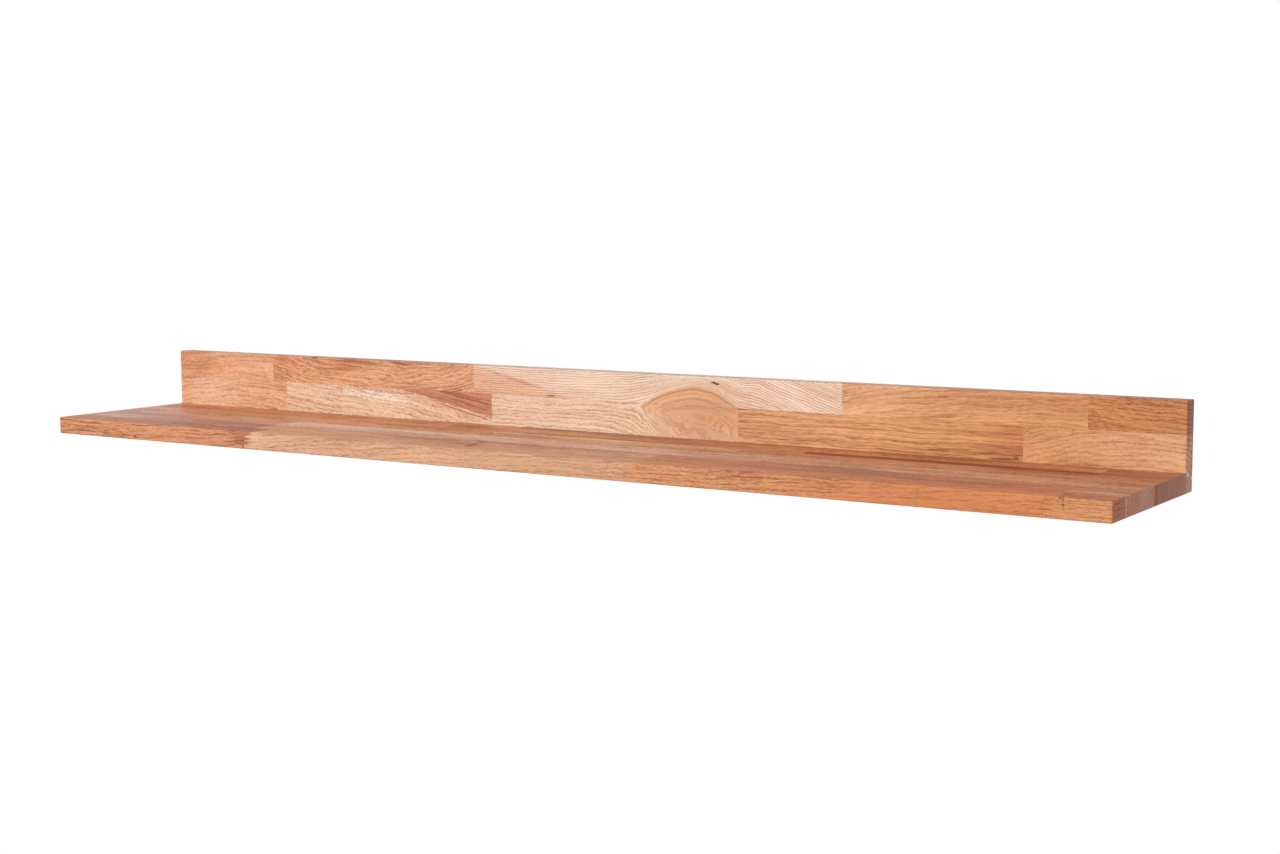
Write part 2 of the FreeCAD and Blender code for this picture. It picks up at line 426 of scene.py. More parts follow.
def mark(at, size, colour, turn=0.0, soft=0.5, amount=0.8):
    """A blotch or streak: its middle and its half sizes in millimetres, THROUGH where it has no end.
    It is turned about the direction in which it has none.
    Formula: the length of the place divided by the half sizes, which is 1 on the ellipse."""
    def paint(finish, place, shade, fibre, under):
        angle = math.radians(turn)
        spin = (0.0, -angle, 0.0) if size[1] == THROUGH else (0.0, 0.0, angle)
        inputs = {"Vector": place, "Location": at, "Rotation": spin, "Scale": size}
        inner = finish.node("ShaderNodeMapping", {"vector_type": "TEXTURE"}, inputs)
        away = finish.node("ShaderNodeVectorMath", {"operation": "LENGTH"}, {0: inner}, "Value")
        mask = finish.smooth(away + fibre * RAGGED_MARK, 1.0, 1.0 - soft)
        return finish.mix(mask * amount, under, own_grain(finish, shade, colour))
    return paint


def wedge(point, slope, colour, soft=1.5, amount=0.8):
    """Dark heartwood above a sloping line on the front, or below it with soft less than 0.
    Formula: the height over that line."""
    def paint(finish, place, shade, fibre, under):
        x, _, z = finish.parts(place)
        over = z - point[1] - (x - point[0]) * slope
        mask = finish.smooth(over + fibre * RAGGED_WEDGE, -soft, soft)
        return finish.mix(mask * amount, under, own_grain(finish, shade, colour))
    return paint


print("marks run from", MARK_DARK, "to", MARK_LIGHT, "times their tone with the grain")

# %% [markdown]
# ## One stave's material
#
# The layers come together in the order in which the wood got them: the tone with its streaks, the
# knot, the marks and the pores grew in the tree, the thin dark glue line came in the workshop, and
# the end grain shows where the saw went through. The same dark line runs along the outer long edges
# too, and there, and in the corner between the two boards, it is painted shade. End grain drinks
# more oil, so it is darker, greyer and less shiny. The oil leaves a satin sheen that breaks up in
# the pores.

# %% What grew in the tree
KNOT_CALMS, KNOT_HIDES, LEVEL_HIDES = 0.45, 0.95, 0.75
FIBRE = 0.5
RING_MIDDLE = 0.3
BASE_SHADE = 0.33
BLOTCH_LENGTH, BLOTCH_WIDTH, BLOTCH_APART, BLOTCH_STRENGTH = 110, 20, 9, 2.5


def grown(finish, recipe, place, centre, level):
    """All that the tree decided, point by point, each under its name, and with it the shade, 0 for
    the light tone and 1 for the dark one.
    Formula: the shade is BASE_SHADE plus the streaks, the bands and the rings, each as strong as the
    recipe says. A knot calms the streaks and hides the rings of the stave, which also hardly show on
    the level faces beside it. The warmth is a slow noise, away from the one of the waves."""
    offset = finish.node("ShaderNodeVectorMath", {"operation": "SUBTRACT"}, {0: place, 1: centre})
    x, y, z = finish.parts(offset)
    calm = plain = recipe["contrast"]
    knot = None
    if "knot" in recipe:
        z, *knot = around_knot(finish, place, centre, recipe["knot"])
        calm = calm * (1 - knot[0] * KNOT_CALMS)
        plain = plain * (1 - knot[0] * KNOT_HIDES) * (1 - level * LEVEL_HIDES)
    far, a, b = heartwards(finish, recipe, x, y, z)
    spring = spring_wood(finish, recipe, far, a, b)
    streak = bundles(finish, recipe, STREAKS, far, a, b)
    band = bundles(finish, recipe, BANDS, far, a, b) * recipe["bands"]
    rings = (spring * recipe["rings"] - recipe["rings"] * RING_MIDDLE) * plain
    spot = finish.vector(far / BLOTCH_LENGTH, y / BLOTCH_WIDTH + BLOTCH_APART, z / BLOTCH_WIDTH)
    return SimpleNamespace(
        knot=knot,
        spring=spring,
        streak=streak,
        fibre=streak * FIBRE,
        pore=pores(finish, far, a, b, spring),
        shade=finish.limit(streak * calm + band + rings + BASE_SHADE),
        warmth=finish.limit(finish.noise(spot) * BLOTCH_STRENGTH + 0.5),
    )


print("the shade lies around", BASE_SHADE, "of the way from a stave's light tone to its dark one")

# %% Heartwood
KNOT_SHARE, UPPER_KNOT_SHARE, RIM_SHARE = 0.5, 0.25, 0.75
REDDER, YELLOWER = (1.015, 0.98, 1.0, 1.0), (1.0, 1.005, 0.95, 1.0)
FADE_ENDS = 10  # millimetres at either end of a stave in which its tone stays as it is


def heartwood(finish, recipe, wood, light, dark):
    """The colour of a stave before its marks: its two tones by the shade, the knot's tones over them,
    and blotches that are a little redder or yellower."""
    colour = finish.mix(wood.shade, tone(*light), tone(*dark))
    if wood.knot:
        inside, rings, upper = wood.knot
        branch = own_grain(finish, wood.shade, KNOT_TONE)
        colour = finish.mix(inside * (KNOT_SHARE + UPPER_KNOT_SHARE * upper), colour, branch)
        colour = finish.mix(rings * RIM_SHARE, colour, tone(*RIM_TONE))
    return finish.mix(1.0, colour, finish.mix(wood.warmth, REDDER, YELLOWER), "MULTIPLY")


def faded(finish, place, low, high, ends, colour):
    """A colour that changes from the stave's left end to its right one, by the factors of each."""
    share = finish.smooth(finish.parts(place)[0], float(low[0]) + FADE_ENDS, float(high[0]) - FADE_ENDS)
    return finish.mix(1.0, colour, finish.mix(share, *map(times_light, ends)), "MULTIPLY")


print(f"blotches take up to {1 - REDDER[1]:.0%} of the green or {1 - YELLOWER[2]:.0%} of the blue")

# %% Glue line with painted edge shade, and sawn end
# a dark line on all long edges: glue at the joints, painted shade at outer arrises and the corner between
# the boards
GLUE_AND_SHADE_TONE = (120, 66, 42)
GLUE_AND_SHADE_EDGE = (0.7, 0.1)  # millimetres from the joint where its line starts and is full
SAWN_LIGHT, SAWN_DARK = 1.14, 0.72
LIGHT_PART, DARK_PART, GREYER = 0.39, 0.45, (0, 2, 8)
SAWN_SHADE, SPRING_DRINKS, STREAK_DRINKS = 0.05, 0.6, 0.7


def glue_and_edge_shade(finish, place, low, high):
    """1 along all four long edges of a stave: a glue line where the next one is glued on, and painted
    shade along the outer edges and in the corner between the boards. Formula: the distance to
    the box in y and that in z, whichever is more, so that only the edges of the box are near."""
    _, y, z = finish.parts(place)
    gaps = []
    for value, least, most in ((y, low[1], high[1]), (z, low[2], high[2])):
        middle, half = float(least + most) / 2, float(most - least) / 2
        gaps.append(finish.sum("ABSOLUTE", finish.sum("ABSOLUTE", value - middle) - half))
    return finish.smooth(finish.sum("MAXIMUM", *gaps), *GLUE_AND_SHADE_EDGE)


def sawn_end(finish, recipe, wood, place, light, dark):
    """The colour where the saw went through: the recipe's own, or one darker and greyer than the
    stave. The spring wood shows as darker lines, because its open pores drink the most oil.
    Formula: 0.39 of the light tone plus 0.45 of the dark one, with a little green and blue added."""
    oiled = tuple(np.array(light) * LIGHT_PART + np.array(dark) * DARK_PART + GREYER)
    saw = recipe.get("sawn", oiled)
    shade = finish.limit(SAWN_SHADE + wood.spring * SPRING_DRINKS + wood.streak * STREAK_DRINKS)
    end = finish.mix(shade, tone(*saw, SAWN_LIGHT), tone(*saw, SAWN_DARK))
    for paint in recipe["end_marks"]:
        end = paint(finish, place, shade, wood.fibre, end)
    return end


print("the glue line is", GLUE_AND_SHADE_EDGE[0], "mm wide on each stave")

# %% Oak
LEVEL_FACE, SAWN_FACE = (0.4, 0.9), (0.3, 0.7)  # how far a face may lean and still count
PORE_SHARE, SAWN_SHARE, GLUE_AND_SHADE_SHARE = 0.4, 0.92, 0.16
ROUGHNESS, STREAK_DULLS, PORE_DULLS, SAWN_DULLS = 0.42, 0.15, 0.2, 0.2
OIL_SHINE = 0.25
PORE_DENT = 0.8
RELIEF_DEPTH, RELIEF_STRENGTH = 0.0003, 0.35


def oak(name, low, high, recipe, marks):
    """The oak of one stave, worked out in millimetres from the middle of its box, low to high.
    Formula: which way a face looks is its normal's part along an axis, squared. Dark streaks, pores
    and the sawn end each add their own to the roughness of the oiled wood."""
    finish = Finish(bpy.data.materials.new(name))
    place = finish.millimetres()
    facing_x, _, facing_z = finish.parts(finish.node("ShaderNodeTexCoord", output="Normal"))
    level = finish.smooth(facing_z * facing_z, *LEVEL_FACE)
    sawn = finish.smooth(facing_x * facing_x, *SAWN_FACE)
    centre = recipe.get("centre", tuple(float(part) for part in (low + high) / 2))
    wood = grown(finish, recipe, place, centre, level)

    light, dark = (tuple(np.array(part) * recipe["tint"]) for part in TONES[recipe["tones"]])
    colour = heartwood(finish, recipe, wood, light, dark)
    if "fade" in recipe:
        colour = faded(finish, place, low, high, recipe["fade"], colour)
    for paint in marks:
        colour = paint(finish, place, wood.shade, wood.fibre, colour)
    colour = finish.mix(wood.pore * (PORE_SHARE * recipe["contrast"]), colour, tone(*PORE_TONE))
    # painted shade: the faces that look up or down take the recipe's darker, redder factors
    if "crown" in recipe:
        crown = times_light(recipe["crown"])
        colour = finish.mix(level, colour, finish.mix(1.0, colour, crown, "MULTIPLY"))
    end = sawn_end(finish, recipe, wood, place, light, dark)
    colour = finish.mix(sawn * SAWN_SHARE, colour, end)
    # dark glue line at the joints, and painted shade where the same line runs along the outer edges
    colour = finish.mix(glue_and_edge_shade(finish, place, low, high) * GLUE_AND_SHADE_SHARE, colour, tone(*GLUE_AND_SHADE_TONE))

    rough = ROUGHNESS + wood.fibre * STREAK_DULLS + wood.pore * PORE_DULLS + sawn * SAWN_DULLS
    look = dict(Base_Color=colour, Roughness=rough, Specular_IOR_Level=OIL_SHINE)
    return finish.surface(wood.fibre - wood.pore * PORE_DENT, RELIEF_DEPTH, RELIEF_STRENGTH, **look)


print("roughness", ROUGHNESS, "on the oiled wood and", round(ROUGHNESS + SAWN_DULLS, 2), "on the sawn ends")

# %% [markdown]
# ## Thirty-six staves
#
# One material with a few sliders would make all staves alike, and thirty-six by hand would be a long
# job. A recipe for each is the way between: it says how the stave grew and how it was cut.
#
# The heart is how far off the heart of the tree lay, in millimetres, and in which direction: 90 is
# straight below, 0 straight in front. The ring is a year's width, and drift makes the years uneven.
# Lean, bow, waves and bend bring the rings up or down along the stave. Rings, contrast and bands say
# how clearly the years, the fine streaks and the broad bands show, and stretch how long both are.
#
# The tones name the pair, and tint multiplies it, by one factor or by three for red, green and blue.
# The painted shade of the level faces is three factors for the faces that look up or down: it
# makes the top of the shelf's front row redder and mostly darker than its edge, and the narrow top
# of the back board, which catches the sky, duller than its front. Sawn is the tone of the end, for
# the staves that reach the right-hand end of the shelf.
#
# What a recipe leaves out comes from ANY_STAVE. Two staves of the back share their recipe and their
# centre, because the branch crosses both of them.

# %% Recipes of the back board
ANY_STAVE = dict(
    lean=0.02, bow=0.0, waves=1.0, ring=3.2, drift=3.0,
    rings=0.26, contrast=1.0, bands=1.0, stretch=1.0, tint=1.0,
)
BRANCH = dict(
    tones="pale", heart=(70, 90), ring=4.2, lean=0.0, seed=3.1, waves=0.5, rings=0.42, contrast=0.95,
    knot=(115.0, 7.0, 22.0, 3.1, 2.3, 1.9), bend=(128, 0.30), centre=(60.0, -9.0, 5.0),
)
# painted shade on the narrow top of the back board, which catches the sky
BACK_TOP_PAINTED_SHADE = (0.93, 0.87, 0.89)
STAVES = {
    "back_top_row_stave_1": dict(
        tones="fawn", heart=(70, 80), ring=6.0, lean=-0.02, bow=0.0003, contrast=0.75, stretch=0.5,
        crown=BACK_TOP_PAINTED_SHADE,
    ),
    "back_top_row_stave_2": dict(
        tones="tan", heart=(60, 60), ring=4.6, lean=0.04, bow=-0.0009, waves=1.6, crown=BACK_TOP_PAINTED_SHADE,
    ),
    "back_top_row_stave_3": dict(
        BRANCH, tones="cream", contrast=0.56, ring=2.5, waves=0.25, drift=0.7, rings=1.1,
        crown=BACK_TOP_PAINTED_SHADE,
    ),
    "back_top_row_stave_4": dict(
        tones="honey", heart=(70, 75), ring=5.0, lean=-0.09, bow=0.0005, contrast=0.62, stretch=1.5,
        crown=BACK_TOP_PAINTED_SHADE,
    ),
    "back_top_row_stave_5": dict(
        tones="amber", heart=(90, 85), ring=4.0, lean=0.08, contrast=0.95, crown=BACK_TOP_PAINTED_SHADE,
        sawn=(184, 124, 102),
    ),
    "back_middle_row_stave_1": dict(
        tones="fawn", heart=(50, 70), ring=5.0, lean=-0.005, bow=0.0008, stretch=0.8,
    ),
    "back_middle_row_stave_2": dict(tones="pale", heart=(60, 75), ring=5.6, lean=0.13),
    "back_middle_row_stave_3": BRANCH,
    "back_middle_row_stave_4": dict(
        tones="gold", heart=(90, 88), ring=4.8, lean=0.005, waves=0.5, contrast=0.75, stretch=3.0,
    ),
    "back_middle_row_stave_5": dict(
        tones="honey", heart=(60, 70), ring=4.6, lean=-0.10, bow=0.0016, contrast=0.74, stretch=0.8,
        sawn=(218, 152, 121),
    ),
    "back_bottom_row_stave_1": dict(tones="tan", heart=(60, 60)),
    "back_bottom_row_stave_2": dict(tones="fawn", heart=(45, 20)),
    "back_bottom_row_stave_3": dict(tones="tan", heart=(80, 80)),
    "back_bottom_row_stave_4": dict(tones="honey", heart=(50, 40), sawn=(200, 148, 130)),
}
print(len(STAVES), "recipes for the back board")

# %% Recipes of the shelf board
STAVES |= {
    "shelf_front_row_stave_1": dict(
        tones="orange", heart=(50, 70), ring=4.4, lean=-0.04, bow=-0.00025, waves=1.1, stretch=1.7,
        crown=(0.90, 0.74, 0.67), contrast=1.3, bands=0.8,
    ),
    "shelf_front_row_stave_2": dict(
        tones="fawn", heart=(40, 60), ring=4.8, lean=-0.055, waves=1.6, stretch=1.2,
        crown=(1.03, 0.97, 0.9), contrast=0.85, bands=0.75,
    ),
    "shelf_front_row_stave_3": dict(
        tones="orange", heart=(44, 70), ring=4.6, lean=-0.055, bow=-0.00015, waves=1.2, stretch=1.3,
        crown=(1.02, 0.92, 0.81),
    ),
    "shelf_front_row_stave_4": dict(
        tones="honey", heart=(80, 88), ring=2.2, lean=0.01, tint=(0.99, 0.97, 0.94),
        crown=(0.927, 0.80, 0.739), sawn=(184, 113, 84),
    ),
    "shelf_second_row_stave_1": dict(tones="rose", heart=(60, 20)),
    "shelf_second_row_stave_2": dict(tones="tan", heart=(50, 10)),
    "shelf_second_row_stave_3": dict(tones="rust", heart=(70, 0)),
    "shelf_second_row_stave_4": dict(tones="tan", heart=(60, 5), sawn=(199, 131, 102), tint=0.95),
    "shelf_third_row_stave_1": dict(tones="blush", heart=(80, 0)),
    "shelf_third_row_stave_2": dict(tones="pale", heart=(80, 10)),
    "shelf_third_row_stave_3": dict(tones="tan", heart=(60, 35), sawn=(201, 138, 113)),
    "shelf_fourth_row_stave_1": dict(tones="tan", heart=(60, 30)),
    "shelf_fourth_row_stave_2": dict(tones="honey", heart=(60, 0)),
    "shelf_fourth_row_stave_3": dict(tones="orange", heart=(60, 8), sawn=(168, 108, 87)),
    "shelf_fifth_row_stave_1": dict(tones="orange", heart=(60, 0)),
    "shelf_fifth_row_stave_2": dict(tones="orange", heart=(60, 20)),
    "shelf_fifth_row_stave_3": dict(tones="orange", heart=(60, 10)),
    "shelf_fifth_row_stave_4": dict(tones="russet", heart=(60, 12), sawn=(174, 115, 95)),
    "shelf_rear_row_stave_1": dict(tones="orange", heart=(60, 10)),
    "shelf_rear_row_stave_2": dict(tones="russet", heart=(60, 10)),
    "shelf_rear_row_stave_3": dict(tones="russet", heart=(60, 10)),
    "shelf_rear_row_stave_4": dict(tones="orange", heart=(60, 10), sawn=(179, 120, 98), tint=0.93),
}
print(len(STAVES), "recipes for both boards")

# %% [markdown]
# ## From one end to the other
#
# Heartwood is not one tone from end to end either. A second material blended in would do for that,
# but factors are simpler. Where a stave grows darker, paler or redder towards one side, three of
# them for red, green and blue say what it is at the left end, and three more at the right end.
# Between the ends the tone slides from the one to the other.

# %% Slow changes of tone
FADES = {
    "back_middle_row_stave_1": ((0.99, 1.05, 1.09), (0.975, 1.0, 1.0)),
    "back_middle_row_stave_2": ((0.965, 0.99, 1.0), (0.965, 0.99, 1.0)),
    "back_middle_row_stave_3": ((0.96, 1.02, 1.05), (0.99, 1.02, 1.04)),
    "back_middle_row_stave_4": ((1.03, 1.11, 1.17), (1.01, 1.04, 1.01)),
    "back_middle_row_stave_5": ((0.95, 0.95, 0.92), (0.98, 1.03, 1.07)),
    "back_top_row_stave_1": ((0.975, 0.93, 0.91), (1.01, 1.02, 1.03)),
    "back_top_row_stave_2": ((1.02, 1.05, 1.08), (0.99, 1.06, 1.12)),
    "back_top_row_stave_3": ((0.965, 0.98, 1.0), (0.99, 1.04, 1.05)),
    "back_top_row_stave_4": ((1.04, 1.11, 1.17), (0.99, 0.99, 0.94)),
    "back_top_row_stave_5": ((1.03, 1.06, 1.02), (0.95, 0.97, 0.96)),
    "shelf_front_row_stave_1": ((0.97, 0.98, 1.01), (0.955, 0.96, 1.01)),
    "shelf_front_row_stave_2": ((0.95, 0.96, 1.0), (0.90, 0.885, 0.88)),
    "shelf_front_row_stave_3": ((0.96, 0.98, 1.0), (0.94, 0.88, 0.80)),
    "shelf_front_row_stave_4": ((0.925, 0.89, 0.85), (0.95, 0.93, 0.89)),
    "shelf_second_row_stave_1": ((1.02, 1.02, 1.03), (1.02, 0.99, 0.97)),
    "shelf_second_row_stave_2": ((0.98, 0.99, 1.02), (0.98, 0.97, 0.96)),
    "shelf_second_row_stave_3": ((1.05, 1.07, 1.02), (1.05, 1.05, 0.98)),
    "shelf_second_row_stave_4": ((1.03, 1.01, 1.0), (1.03, 1.01, 1.0)),
    "shelf_third_row_stave_1": ((0.97, 0.93, 0.92), (1.01, 1.0, 0.97)),
    "shelf_third_row_stave_2": ((0.99, 0.97, 1.0), (0.98, 0.96, 0.99)),
    "shelf_third_row_stave_3": ((1.01, 1.05, 1.08), (0.95, 0.93, 0.94)),
    "shelf_fourth_row_stave_1": ((1.03, 1.04, 1.04), (1.02, 1.02, 1.02)),
    "shelf_fourth_row_stave_3": ((1.0, 1.03, 1.06), (0.94, 0.93, 0.94)),
    "shelf_fifth_row_stave_2": ((0.97, 0.99, 1.01), (0.97, 0.99, 1.01)),
    "shelf_fifth_row_stave_3": ((1.02, 1.01, 1.0), (1.02, 1.01, 1.0)),
    "shelf_fifth_row_stave_4": ((1.06, 1.08, 1.03), (1.06, 1.07, 1.03)),
    "shelf_rear_row_stave_1": ((0.93, 0.98, 1.04), (0.92, 0.97, 1.02)),
    "shelf_rear_row_stave_2": ((0.93, 0.96, 0.96), (0.98, 1.03, 1.02)),
    "shelf_rear_row_stave_3": ((1.03, 1.05, 1.0), (1.03, 1.04, 0.98)),
    "shelf_rear_row_stave_4": ((0.92, 0.95, 0.95), (0.92, 0.94, 0.96)),
}
print(len(FADES), "of", len(STAVES), "staves change from end to end")

# %% [markdown]
# ## Where the marks lie
#
# Noise gives the right kind of wood, but the eye knows a board by its few large signs: the dark wedge
# and the two black pin knots in the back board, the strip of dark heartwood near the rear of the
# shelf. So these are listed one by one. Each line has the middle of a mark and its half sizes,
# both along the shelf, into the wall and up, then its tone. A mark seen on an upright face mostly
# goes through the board from front to back, and one seen on a level face from top to bottom.

# %% Marks of the back board
DARK = (104, 56, 36)
T = THROUGH  # a short name, because nearly every mark has it
MARKS = {
    "back_middle_row_stave_1": [mark((-596, 0, -2), (22, T, 40), (218, 140, 98), soft=0.8, amount=0.5)],
    "back_top_row_stave_2": [
        mark((-387, 0, 39.4), (6, T, 1.4), DARK),
        mark((-320, 0, 37.6), (33, T, 1.4), (150, 84, 52), turn=-4),
        mark((-264, 0, 37.8), (16, T, 1.4), (140, 76, 46), turn=-6),
        mark((-343, 0, 30), (16, T, 4), (196, 118, 68), amount=0.6),
        mark((-438, 0, 36), (14, T, 5), (196, 120, 84), amount=0.6),
    ],
    "back_top_row_stave_3": [
        wedge((-163, 38), -0.235, (226, 166, 122), soft=-3.0, amount=0.6),
        mark((-100, 0, 25.2), (62, T, 3.0), (206, 140, 98), turn=-13.0, soft=0.8, amount=0.75),
        mark((-61, 0, 12.4), (8, T, 1.5), (150, 72, 44)),
        mark((58, 0, 34), (44, T, 8), (246, 216, 200), soft=0.9, amount=0.55),
        mark((134.4, 0, 34.4), (2.9, T, 1.4), DARK, soft=0.3, amount=1.0),
        mark((138.2, 0, 33.4), (2.5, T, 1.2), DARK, soft=0.3, amount=1.0),
    ],
    "back_middle_row_stave_2": [
        wedge((-268, 11), -0.205, (192, 126, 96), amount=0.9),
        mark((-190, 0, 9), (50, T, 1.0), (140, 74, 56), turn=-7, amount=0.7),
        mark((-172, 0, 4), (44, T, 0.8), (138, 76, 58), turn=-9, amount=0.8),
        mark((-184, 0, 0), (44, T, 0.9), (230, 170, 140), turn=-11, amount=0.6),
        mark((-170, 0, -2), (42, T, 0.8), (142, 78, 58), turn=-11, amount=0.8),
        mark((-178, 0, -9.5), (48, T, 1.0), (176, 96, 66), turn=-12, amount=0.9),
        mark((-305, 0, 2), (70, T, 7), (255, 232, 214), turn=-6, soft=0.8, amount=0.5),
    ],
    "back_middle_row_stave_3": [
        mark((138, 0, -2), (44, T, 12), (208, 142, 98), soft=0.9, amount=0.6),
        mark((100, 0, -20), (34, T, 9), (234, 180, 146), soft=0.9, amount=0.5),
        mark((14, 0, -18), (34, T, 6), (246, 208, 184), soft=0.9, amount=0.5),
        mark((150, 0, -5.5), (13, T, 0.7), (192, 128, 86), turn=-37, amount=0.6),
        mark((155, 0, -3.5), (9, T, 0.7), (192, 128, 86), turn=-37, amount=0.5),
    ],
    "back_middle_row_stave_4": [
        mark((446, 0, -4), (26, T, 22), (196, 120, 70), amount=0.5),
        mark((437, 0, -20.6), (13, T, 1.1), DARK, amount=0.9),
        mark((447, 0, -19.0), (3.5, T, 1.6), DARK, amount=0.7),
    ],
}
print(sum(map(len, MARKS.values())), "marks in the back board")

# %% Marks of the shelf board
MARKS |= {
    "shelf_front_row_stave_1": [
        mark((-480.5, 0, -36.6), (2.0, T, 1.6), (104, 40, 40), amount=1.0),
        mark((-476.5, 0, -36.2), (2.4, T, 1.8), (214, 110, 96), amount=0.6),
        mark((-321, 0, -28.5), (15, T, 8.5), (170, 102, 66), amount=0.6),
        mark((-328, 0, -32.2), (6, T, 0.8), (240, 168, 120), amount=0.7),
        mark((-329, 0, -33.6), (9, T, 0.8), (160, 84, 42), amount=0.8),
        mark((-320.5, 0, -37.6), (2.0, T, 1.2), (150, 74, 44), amount=0.8),
    ],
    "shelf_front_row_stave_2": [mark((-46, -173, 0), (4.5, 7, T), (96, 36, 20), soft=0.3, amount=1.0)],
    "shelf_front_row_stave_3": [
        mark((532, 0, -37.2), (12, T, 1.2), (190, 84, 36), soft=0.7, amount=0.7),
        mark((546, 0, -28.5), (8, T, 0.8), (160, 86, 42), amount=0.6),
        mark((547, 0, -32.6), (8, T, 0.8), (156, 84, 48), amount=0.7),
        mark((400, 0, -37.5), (60, T, 2.0), (196, 112, 66), turn=-2, amount=0.6),
        mark((450, -201, -31), (110, 6, 16), (190, 106, 62), soft=0.9, amount=0.38),
        mark((440, -185, 0), (150, 14, T), (172, 112, 88), soft=0.8, amount=0.25),
        mark((215, -183, 0), (60, 15, T), (232, 166, 126), soft=0.9, amount=0.35),
    ],
    "shelf_front_row_stave_4": [
        mark((542.8, 0, -37), (1.1, T, 3.2), (140, 84, 44), amount=0.8),
        mark((557.6, 0, -22.8), (1.6, T, 1.3), (126, 50, 24)),
        mark((560.0, 0, -24.2), (0.9, T, 2.6), (126, 54, 26)),
        mark((560.0, 0, -28.2), (1.7, T, 1.6), (112, 44, 12), amount=1.0),
        mark((560.3, 0, -31.0), (0.7, T, 1.6), (160, 88, 48)),
    ],
    "shelf_second_row_stave_1": [
        mark((-556, -151, 0), (34, 15, T), (236, 196, 172), amount=0.55, soft=0.4),
        mark((-362, -142, 0), (40, 9, T), (170, 104, 76), amount=0.5),
    ],
    "shelf_second_row_stave_2": [
        mark((-46, -171.5, 0), (4.5, 8, T), (96, 36, 20), soft=0.3, amount=1.0),
        mark((-52, -152, 0), (4, 13, T), (140, 78, 52), amount=0.7),
        mark((13, -152, 0), (17, 11, T), (196, 118, 74), amount=0.6),
        mark((118, -139, 0), (60, 4, T), (176, 112, 76), turn=2, amount=0.6),
    ],
    "shelf_second_row_stave_3": [
        mark((340, -139, 0), (120, 6, T), (140, 82, 66), amount=0.6),
        mark((212, -151, 0), (50, 8, T), (200, 118, 76), turn=6, amount=0.6),
    ],
    "shelf_second_row_stave_4": [mark((584, -163, 0), (22, 5, T), (240, 186, 152), amount=0.6)],
    "shelf_third_row_stave_2": [
        mark((90, -108, 0), (4, 5, T), (150, 90, 66), amount=0.8),
        mark((-190, -112, 0), (110, 8, T), (252, 222, 206), amount=0.5),
        mark((-10, -116, 0), (60, 16, T), (214, 152, 118), amount=0.5),
    ],
    "shelf_third_row_stave_3": [mark((390, -127, 0), (150, 7, T), (236, 182, 142), turn=-2, amount=0.55)],
    "shelf_fourth_row_stave_1": [mark((-555, -82, 0), (34, 12, T), (216, 178, 136), amount=0.5)],
    "shelf_fourth_row_stave_2": [
        mark((50, -71.5, 0), (600, 5, T), (252, 200, 158), amount=0.75),
        mark((170, -93, 0), (60, 6, T), (180, 108, 72), amount=0.6),
        mark((-30, -92, 0), (70, 4, T), (160, 94, 64), amount=0.6),
    ],
    "shelf_fourth_row_stave_3": [mark((516, -73, 0), (1.6, 5, T), (120, 60, 40))],
    "shelf_fifth_row_stave_1": [
        mark((-480, -50, 0), (110, 14, T), (190, 104, 58), amount=0.45),
        mark((-576, -54, 0), (18, 11, T), (184, 104, 88), amount=0.6),
    ],
    "shelf_fifth_row_stave_2": [
        mark((-150, -43, 0), (28, 20, T), (182, 98, 64), amount=0.55),
        mark((-10, -59, 0), (86, 3.5, T), (150, 84, 56), amount=0.7),
        mark((150, -54, 0), (100, 11, T), (170, 92, 56), amount=0.55),
    ],
    "shelf_fifth_row_stave_3": [
        mark((396, -58, 0), (600, 10, T), (124, 54, 32), soft=0.3, amount=0.95),
        mark((269, -38, 0), (13, 5, T), (150, 80, 48), amount=0.7),
    ],
    "shelf_fifth_row_stave_4": [mark((570, -54, 0), (400, 9, T), (150, 82, 54), soft=0.4, amount=0.6)],
    "shelf_rear_row_stave_1": [mark((-118, -24, 0), (22, 12, T), (226, 170, 136), amount=0.6)],
    "shelf_rear_row_stave_2": [
        mark((-50, -26, 0), (42, 5, T), (134, 76, 48), amount=0.75),
        mark((34, -25, 0), (20, 4, T), (150, 88, 58), amount=0.6),
    ],
    "shelf_rear_row_stave_3": [mark((330, -23, 0), (140, 5, T), (150, 84, 54), amount=0.5)],
}
print(sum(map(len, MARKS.values())), "marks in both boards")

# %% [markdown]
# ## Marks where the saw went through
#
# The right-hand end of the shelf shows nine staves cut across. What marks them is another kind of
# sign: a bundle of darker years, a paler strip, a crumb of dried glue. Their marks are kept apart
# from the others, since they belong on the sawn faces only.

